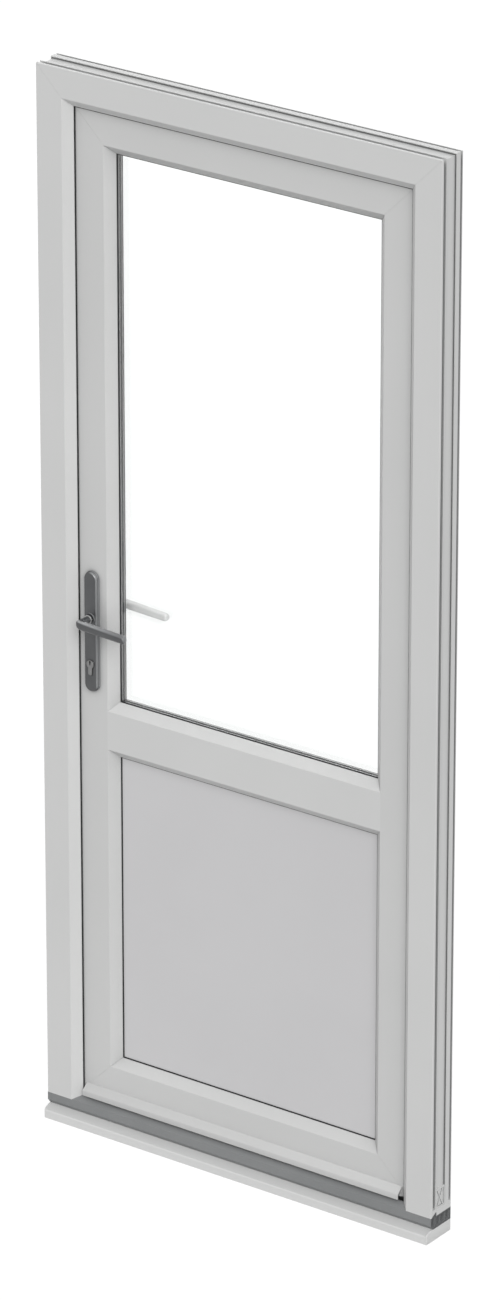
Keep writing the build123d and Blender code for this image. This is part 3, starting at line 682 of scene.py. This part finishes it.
def makeLever(node, outward, look, neckLook, ringHighlightLook):
    shape = leverShape
    low, high = [corner / mm for corner in boxOf(node)]
    pivot = (low.x + shape["heel"], (low.z + high.z) / 2)
    reachOut = low.y if outward < 0 else high.y
    axis = reachOut - outward * shape["thickness"] / 2
    bar = []
    for distance in leverStations(shape):
        section = leverSection(shape, distance)
        bar.append([(low.x + distance, axis + outward * out, pivot[1] + up) for out, up in section])
    face = reachOut - outward * (shape["thickness"] + shape["standoff"])
    root = face - outward * shape["plate"]
    neck = shape["neck"]
    profile = [
        (neck - shape["neckArris"], root),
        (neck, root + outward * shape["neckArris"]),
        (neck, face + outward * (shape["standoff"] - 6.0)),
        (neck + shape["flare"] * 0.5, face + outward * (shape["standoff"] - 3.0)),
        (neck + shape["flare"], face + outward * (shape["standoff"] + 0.5)),
        (neck + shape["flare"] * 0.6, face + outward * (shape["standoff"] + 4.0)),
    ]
    addPiece("shaped_" + node, meshOf("shaped_" + node, skin(bar)), look, bodyOf[node], (node,))
    neckMesh = meshOf(node + "_neck", turned(profile, pivot))
    addPiece(node + "_neck", neckMesh, neckLook, bodyOf[node])
    # a light ring round the neck: a painted highlight where the neck's top catches the light
    ringFace = face + outward * shape["collar"]
    ringProfile = []
    for step in range(12):
        angle = 2 * math.pi * step / 12
        radius = shape["ringMiddle"] + shape["ringHalf"] * math.cos(angle)
        ringProfile.append((radius, ringFace + outward * (shape["ringProud"] * (1 + math.sin(angle)) / 2)))
    ringMesh = meshOf(node + "_ring", turned(ringProfile, pivot, loop=True))
    addPiece(node + "_ring", ringMesh, ringHighlightLook, bodyOf[node])


makeLever("outside_lever", -1, leverGrey, neckGrey, ringHighlight)
makeLever("inside_lever", 1, whiteHardware, whiteHardware, whiteHardware)
print("levers made")

cylinderShape = {"radius": 8.1, "tail": 4.4, "foot": 21.6, "arris": 0.4, "keyDepth": 7.5}


def cylinderOutline(shape, inset):
    radius = shape["radius"] - inset
    tail = shape["tail"] - inset
    start = math.asin(tail / radius)
    outline = []
    for step in range(25):
        angle = start + (2 * math.pi - 2 * start) * step / 24
        outline.append((radius * math.sin(angle + math.pi), radius * math.cos(angle + math.pi)))
    for step in range(13):
        angle = math.pi * step / 12
        outline.append((tail * math.cos(angle), -shape["foot"] + shape["tail"] - tail * math.sin(angle)))
    return outline


# key slot: a wedge, wide at the top, on the plug's middle
keySlot = [
    (-1.6, 7.1),
    (1.6, 7.1),
    (1.8, 5.4),
    (1.3, 2.4),
    (0.6, -2.2),
    (-0.4, -2.4),
    (-0.8, 0.6),
    (-1.3, 2.4),
    (-1.8, 5.4),
]


# a closed prism into the wall with a pocket in each face
def cylinderMesh(name, centre, front, back):
    shell = bmesh.new()
    shape = cylinderShape

    def loopAt(outline, depth):
        places = [((centre[0] + x) * mm, depth * mm, (centre[1] + z) * mm) for x, z in outline]
        return [shell.verts.new(place) for place in places]

    def join(first, second):
        for step in range(len(first)):
            after = (step + 1) % len(first)
            shell.faces.new((first[step], first[after], second[after], second[step]))

    def ringEdges(loop):
        edges = []
        for step in range(len(loop)):
            pair = (loop[step], loop[(step + 1) % len(loop)])
            edges.append(shell.edges.get(pair) or shell.edges.new(pair))
        return edges

    sharp = cylinderOutline(shape, 0.0)
    body = [loopAt(sharp, depth) for depth in (front + shape["arris"], back - shape["arris"])]
    join(body[0], body[1])
    for face, inward, outer in ((front, 1, body[0]), (back, -1, body[1])):
        rim = loopAt(cylinderOutline(shape, shape["arris"]), face)
        join(rim, outer)
        mouth = loopAt(keySlot, face)
        floor = loopAt(keySlot, face + inward * shape["keyDepth"])
        join(mouth, floor)
        shell.faces.new(floor)
        edges = ringEdges(rim) + ringEdges(mouth)
        bmesh.ops.triangle_fill(shell, use_beauty=True, use_dissolve=False, edges=edges)
    mesh = bpy.data.meshes.new(name)
    shell.to_mesh(mesh)
    shell.free()
    return mesh


def makeCylinder():
    low, high = [corner / mm for corner in boxOf("euro_cylinder")]
    radius = (high.x - low.x) / 2
    centre = ((low.x + high.x) / 2, high.z - radius)
    mesh = cylinderMesh("lock_cylinder", centre, low.y, high.y)
    node = "euro_cylinder"
    addPiece("lock_cylinder", mesh, cylinderSteel, bodyOf[node], (node,))


makeCylinder()
print("cylinder made")


# Geometry Nodes: a straight row of one small shape, each turned by chance about its own axis
def makeRowTree():
    tree = bpy.data.node_groups.new("row_of_fixings", "GeometryNodeTree")
    tree.interface.new_socket(name="Geometry", in_out="OUTPUT", socket_type="NodeSocketGeometry")
    kinds = {
        "Shape": "NodeSocketObject",
        "Count": "NodeSocketInt",
        "Start": "NodeSocketVector",
        "Step": "NodeSocketVector",
        "Facing": "NodeSocketVector",
        "Spin": "NodeSocketFloat",
        "Seed": "NodeSocketInt",
        "Finish": "NodeSocketMaterial",
    }
    for name, kind in kinds.items():
        tree.interface.new_socket(name=name, in_out="INPUT", socket_type=kind)

    def add(kind, links=None, **values):
        made = tree.nodes.new(kind)
        for key, value in values.items():
            setattr(made, key, value)
        for key, source in (links or {}).items():
            if hasattr(source, "is_linked"):
                tree.links.new(source, made.inputs[key])
            else:
                made.inputs[key].default_value = source
        return made.outputs

    given = add("NodeGroupInput")
    line = add(
        "GeometryNodeMeshLine",
        {"Count": given["Count"], "Start Location": given["Start"], "Offset": given["Step"]},
        mode="OFFSET",
    )
    shape = add("GeometryNodeObjectInfo", {"Object": given["Shape"]}, transform_space="ORIGINAL")
    limits = {2: 0.0, 3: given["Spin"], "Seed": given["Seed"]}
    chance = add("FunctionNodeRandomValue", limits, data_type="FLOAT")
    spin = add("ShaderNodeCombineXYZ", {"Z": chance[1]})
    facing = add("FunctionNodeEulerToRotation", {0: given["Facing"]})
    own = add("FunctionNodeEulerToRotation", {0: spin[0]})
    where = {"Points": line[0], "Instance": shape["Geometry"], "Rotation": facing[0]}
    placed = add("GeometryNodeInstanceOnPoints", where)
    turn = {"Instances": placed[0], "Rotation": own[0], "Local Space": True}
    spun = add("GeometryNodeRotateInstances", turn)
    real = add("GeometryNodeRealizeInstances", {"Geometry": spun[0]})
    painted = add("GeometryNodeSetMaterial", {"Geometry": real[0], "Material": given["Finish"]})
    add("NodeGroupOutput", {"Geometry": painted[0]})
    return tree


rowTree = makeRowTree()


def rowMesh(shape, count, start, step, facing, spin, seed, look):
    holder = bpy.data.objects.new("row", bpy.data.meshes.new("row"))
    scene.collection.objects.link(holder)
    modifier = holder.modifiers.new("row", "NODES")
    modifier.node_group = rowTree
    given = {
        "Shape": shape,
        "Count": count,
        "Start": [value * mm for value in start],
        "Step": [value * mm for value in step],
        "Facing": facing,
        "Spin": spin,
        "Seed": seed,
        "Finish": look,
    }
    for item in rowTree.interface.items_tree:
        if item.in_out == "INPUT":
            modifier[item.identifier] = given[item.name]
    return evaluated(holder, "row")


def joinRows(name, rows, look, body):
    joined = bmesh.new()
    for row in rows:
        joined.from_mesh(row)
        bpy.data.meshes.remove(row)
    mesh = bpy.data.meshes.new(name)
    joined.to_mesh(mesh)
    joined.free()
    addPiece(name, mesh, look, body)


# turns that point a shape's own z axis each way
facings = {
    "inward": (-math.pi / 2, 0.0, 0.0),
    "left": (0.0, -math.pi / 2, 0.0),
    "right": (0.0, math.pi / 2, 0.0),
    "up": (0.0, 0.0, math.pi / 2),
    "down": (math.pi, 0.0, math.pi / 2),
}

screwShape = {
    "radius": 3.3,
    "dome": [(1.0, -0.25), (1.0, 0.15), (0.93, 0.5), (0.74, 0.8), (0.62, 0.9)],  # share of radius, height
    "crossHalf": 0.45,
    "crossReach": 1.7,
    "crossTaper": 0.8,
    "crossFloor": 0.15,
    "sides": 24,
}


# a low domed screw head with a cross recess, its foot just under the face that it sits on
def makeScrewHead(scale):
    shape = screwShape
    shell = bmesh.new()
    unit = scale * mm
    loops = []
    for share, rise in shape["dome"]:
        loop = []
        for step in range(shape["sides"]):
            angle = 2 * math.pi * step / shape["sides"]
            radius = shape["radius"] * share * unit
            loop.append(shell.verts.new((radius * math.cos(angle), radius * math.sin(angle), rise * unit)))
        loops.append(loop)
    half, reach = shape["crossHalf"], shape["crossReach"]
    cross = []
    for turn in range(4):
        angle = math.pi / 2 * turn
        for across, along in ((half, half), (reach, half), (reach, -half)):
            x = across * math.cos(angle) + along * math.sin(angle)
            y = across * math.sin(angle) - along * math.cos(angle)
            cross.append((x, y))
    crown = shape["dome"][-1][1] * unit
    mouth = [shell.verts.new((x * unit, y * unit, crown)) for x, y in cross]
    low = shape["crossTaper"] * unit
    floor = [shell.verts.new((x * low, y * low, shape["crossFloor"] * unit)) for x, y in cross]
    for first, second in list(zip(loops, loops[1:])) + [(mouth, floor)]:
        for step in range(len(first)):
            after = (step + 1) % len(first)
            shell.faces.new((first[step], first[after], second[after], second[step]))
    shell.faces.new(loops[0])
    shell.faces.new(floor)
    edges = []
    for loop in (loops[-1], mouth):
        for step in range(len(loop)):
            edges.append(shell.edges.get((loop[step], loop[(step + 1) % len(loop)])))
    bmesh.ops.triangle_fill(shell, use_beauty=True, use_dissolve=False, edges=edges)
    bmesh.ops.recalc_face_normals(shell, faces=shell.faces)
    mesh = bpy.data.meshes.new("screw_head")
    shell.to_mesh(mesh)
    shell.free()
    return bpy.data.objects.new("screw_head", mesh)


# places of the screws, in mm from the edges or the middle of what they hold
screwRows = {
    "leafEdge": 15,
    "leafProud": 4,
    "leafFirst": -33,
    "leafStep": 22,
    "frameEdge": 10,
    "frameProud": 5,
    "frameFirst": -36,
    "frameStep": 24,
    "perHinge": 4,
    "strip": ((-850, 150), (-460, 240), (220, 240), (700, 150)),  # from the lever's axis, and the step
    "keepEnd": 4.6,
    "plateEnd": 13,
    "plateSunk": 2,
    "small": 0.72,
    "spin": 6.3,
    "seed": 11,
}
screwHead = makeScrewHead(1.0)
smallScrewHead = makeScrewHead(screwRows["small"])


def screwRow(head, count, start, rise, facing, chance):
    seed = screwRows["seed"] + chance
    return rowMesh(head, count, start, (0, 0, rise), facings[facing], screwRows["spin"], seed, satinSteel)


def makeScrews():
    rows = screwRows
    leafRows, frameRows, stripRows, keepRows = [], [], [], []
    for index, place in enumerate(("lower", "middle", "upper")):
        low, high = [corner / mm for corner in boxOf(place + "_hinge_leaf_half")]
        middle = (low.z + high.z) / 2
        start = (low.x + rows["leafEdge"], low.y + rows["leafProud"], middle + rows["leafFirst"])
        leafRows.append(screwRow(screwHead, rows["perHinge"], start, rows["leafStep"], "inward", index))
        low, high = [corner / mm for corner in boxOf(place + "_hinge_frame_half")]
        middle = (low.z + high.z) / 2
        start = (high.x - rows["frameEdge"], low.y + rows["frameProud"], middle + rows["frameFirst"])
        frameRows.append(screwRow(screwHead, rows["perHinge"], start, rows["frameStep"], "inward", index + 5))
    low, high = [corner / mm for corner in boxOf("lock_faceplate")]
    pivot = (boxOf("outside_lever")[0].z + boxOf("outside_lever")[1].z) / 2 / mm
    for index, (offset, step) in enumerate(rows["strip"]):
        start = (low.x, (low.y + high.y) / 2, pivot + offset)
        stripRows.append(screwRow(smallScrewHead, 2, start, step, "left", index + 20))
    for index, keep in enumerate(("latch_keep", "upper_hook_keep", "lower_hook_keep")):
        low, high = [corner / mm for corner in boxOf(keep)]
        start = (high.x, (low.y + high.y) / 2, low.z + rows["keepEnd"])
        step = high.z - low.z - 2 * rows["keepEnd"]
        keepRows.append(screwRow(smallScrewHead, 2, start, step, "right", index + 30))
    low, high = [corner / mm for corner in boxOf("inside_handle_plate")]
    start = ((low.x + high.x) / 2, high.y - rows["plateSunk"], low.z + rows["plateEnd"])
    step = high.z - low.z - 2 * rows["plateEnd"]
    plateRows = [screwRow(screwHead, 2, start, step, "inward", 40)]
    joinRows("hinge_leaf_screws", leafRows, satinSteel, "door_leaf")
    joinRows("hinge_frame_screws", frameRows, satinSteel, "outer_frame")
    joinRows("faceplate_screws", stripRows, satinSteel, "door_leaf")
    joinRows("keep_screws", keepRows, satinSteel, "outer_frame")
    joinRows("inside_plate_screws", plateRows, satinSteel, "door_leaf")


makeScrews()
print("screws made")

ventShape = {
    "length": 1.9,
    "width": 0.7,
    "corner": (0.2, 0.3),  # where the slot's cut corners start, as shares of its width and length
    "sunk": 0.3,
    "proud": 0.06,
    "spacing": 6.0,
    "clear": 12.0,
    "trough": 5.0,  # from the spacer's outer edge in to its trough
}


# short dark slots along the trough of the spacer bar
def makeVents():
    shape = ventShape
    shell = bmesh.new()
    a, b = shape["corner"]
    outline = [(-0.5, -b), (-a, -0.5), (a, -0.5), (0.5, -b), (0.5, b), (a, 0.5), (-a, 0.5), (-0.5, b)]
    width, length = shape["width"] * mm, shape["length"] * mm
    rings = []
    for rise in (-shape["sunk"], shape["proud"]):
        rings.append([shell.verts.new((x * width, y * length, rise * mm)) for x, y in outline])
    for step in range(8):
        after = (step + 1) % 8
        shell.faces.new((rings[0][step], rings[0][after], rings[1][after], rings[1][step]))
    shell.faces.new(list(reversed(rings[0])))
    shell.faces.new(rings[1])
    mesh = bpy.data.meshes.new("vent")
    shell.to_mesh(mesh)
    shell.free()
    vent = bpy.data.objects.new("vent", mesh)
    low, high = [corner / mm for corner in boxOf("spacer_bar")]
    depth = (low.y + high.y) / 2
    floor = shape["trough"]
    spacing, clear = shape["spacing"], shape["clear"]
    upCount = int((high.z - low.z - 2 * clear) / spacing) + 1
    acrossCount = int((high.x - low.x - 2 * clear) / spacing) + 1
    rows = []
    for x, facing in ((low.x + floor, "right"), (high.x - floor, "left")):
        start = (x, depth, low.z + clear)
        rows.append(rowMesh(vent, upCount, start, (0, 0, spacing), facings[facing], 0.0, 0, blackRubber))
    for z, facing in ((low.z + floor, "up"), (high.z - floor, "down")):
        start = (low.x + clear, depth, z)
        rows.append(rowMesh(vent, acrossCount, start, (spacing, 0, 0), facings[facing], 0.0, 0, blackRubber))
    joinRows("spacer_vents", rows, blackRubber, "door_leaf")
    bpy.data.objects.remove(vent, do_unlink=True)


makeVents()
for head in (screwHead, smallScrewHead):
    bpy.data.objects.remove(head, do_unlink=True)
print("spacer vents made")

hingeCapShape = {"radius": 7.0, "skirt": 0.6, "rise": 2.6, "overlap": 0.2, "tip": 0.4}


# a low dome on each end of the hinges' knuckles
def makeHingeCaps():
    shape = hingeCapShape
    radius, skirt, rise, overlap = shape["radius"], shape["skirt"], shape["rise"], shape["overlap"]
    swing = frame["joints"][0]["pos_m"]
    axis = (swing[0] / mm, swing[1] / mm)
    skins = []
    for place in ("lower", "middle", "upper"):
        low, high = [corner / mm for corner in boxOf(place + "_hinge_frame_half")]
        for end, away in ((low.z + overlap, -1), (high.z - overlap, 1)):
            profile = [(radius, end), (radius, end + away * skirt)]
            for step in range(1, 6):
                angle = math.radians(18 * step)
                width = max(shape["tip"], radius * math.cos(angle))
                profile.append((width, end + away * (skirt + rise * math.sin(angle))))
            skins.append(turned(profile, axis, sides=28, upright=True))
    addPiece("hinge_caps", meshOf("hinge_caps", *skins), whiteHardware, "outer_frame")


makeHingeCaps()
print("hinge caps made")

stageSizes = {"reach": 60.0, "glow": 0.9, "shadowed": grey(0.15), "colour": grey(0.5)}


def seenDirectly(look):
    path = look.node("ShaderNodeLightPath").socket.node.outputs
    rays = [Wire(look, path[name]) for name in ("Is Camera Ray", "Is Glossy Ray", "Is Transmission Ray")]
    return rays[0].most(rays[1]).most(rays[2])


def floorLook():
    look = Look("studio_floor")
    plain = look.node("ShaderNodeBsdfDiffuse", values={"Color": stageSizes["colour"]})
    shadowed = look.node("ShaderNodeBsdfDiffuse", values={"Color": stageSizes["shadowed"]})
    glow = look.node("ShaderNodeEmission", values={"Color": (1, 1, 1, 1), "Strength": stageSizes["glow"]})
    white = look.node("ShaderNodeAddShader", values={0: glow, 1: shadowed})
    both = look.node("ShaderNodeMixShader", values={0: seenDirectly(look), 1: plain, 2: white})
    look.node("ShaderNodeOutputMaterial", values={"Surface": both})
    return look.material


def makeFloor():
    reach = stageSizes["reach"]
    mesh = bpy.data.meshes.new("studio_floor")
    corners = [(-reach, -reach, 0), (reach, -reach, 0), (reach, reach, 0), (-reach, reach, 0)]
    mesh.from_pydata([(x, y, cadBox[0][2]) for x, y, z in corners], [], [(0, 1, 2, 3)])
    floor = bpy.data.objects.new("studio_floor", mesh)
    scene.collection.objects.link(floor)
    mesh.materials.append(floorLook())


worldLight = {"strength": 0.60, "colour": (0.985, 0.992, 1.0, 1.0)}


def makeWorld():
    world = bpy.data.worlds.new("studio")
    scene.world = world
    world.use_nodes = True
    look = Look.__new__(Look)
    look.tree = world.node_tree
    look.tree.nodes.clear()
    seen = seenDirectly(look)
    light = {"Color": worldLight["colour"], "Strength": worldLight["strength"]}
    soft = look.node("ShaderNodeBackground", values=light)
    white = look.node("ShaderNodeBackground", values={"Color": (1, 1, 1, 1), "Strength": 1.0})
    both = look.node("ShaderNodeMixShader", values={0: seen, 1: soft, 2: white})
    look.node("ShaderNodeOutputWorld", values={"Surface": both})


lamps = {
    "key": {"towards": (0.533, -0.642, 0.55), "strength": 1.74, "angle": 40.0},
    "back": {"towards": (-0.60, 0.78, 0.12), "strength": 0.95, "angle": 50.0},
}


def makeLamps():
    for name, lamp in lamps.items():
        data = bpy.data.lights.new(name, "SUN")
        data.energy = lamp["strength"]
        data.angle = math.radians(lamp["angle"])
        made = bpy.data.objects.new(name, data)
        made.rotation_euler = Vector(lamp["towards"]).to_track_quat("Z", "Y").to_euler()
        scene.collection.objects.link(made)


cameraSetup = {
    "lens": 209.1,
    "sensor": 36.0,
    "azimuth": 35.925,
    "elevation": 23.485,
    "distance": 13.663,
    "target": (0.0316, 0.0, 1.08325),
}


def makeCamera():
    data = bpy.data.cameras.new("photo_camera")
    data.lens = cameraSetup["lens"]
    data.sensor_fit = "VERTICAL"
    data.sensor_height = cameraSetup["sensor"]
    data.clip_end = 200.0
    azimuth = math.radians(cameraSetup["azimuth"])
    elevation = math.radians(cameraSetup["elevation"])
    back = Vector(
        (
            math.sin(azimuth) * math.cos(elevation),
            -math.cos(azimuth) * math.cos(elevation),
            math.sin(elevation),
        )
    )
    camera = bpy.data.objects.new("photo_camera", data)
    camera.location = Vector(cameraSetup["target"]) + back * cameraSetup["distance"]
    camera.rotation_euler = back.to_track_quat("Z", "Y").to_euler()
    scene.collection.objects.link(camera)
    scene.camera = camera


makeFloor()
makeWorld()
makeLamps()
makeCamera()
scene.view_settings.view_transform = "Standard"
print("stage, lamps and camera placed")
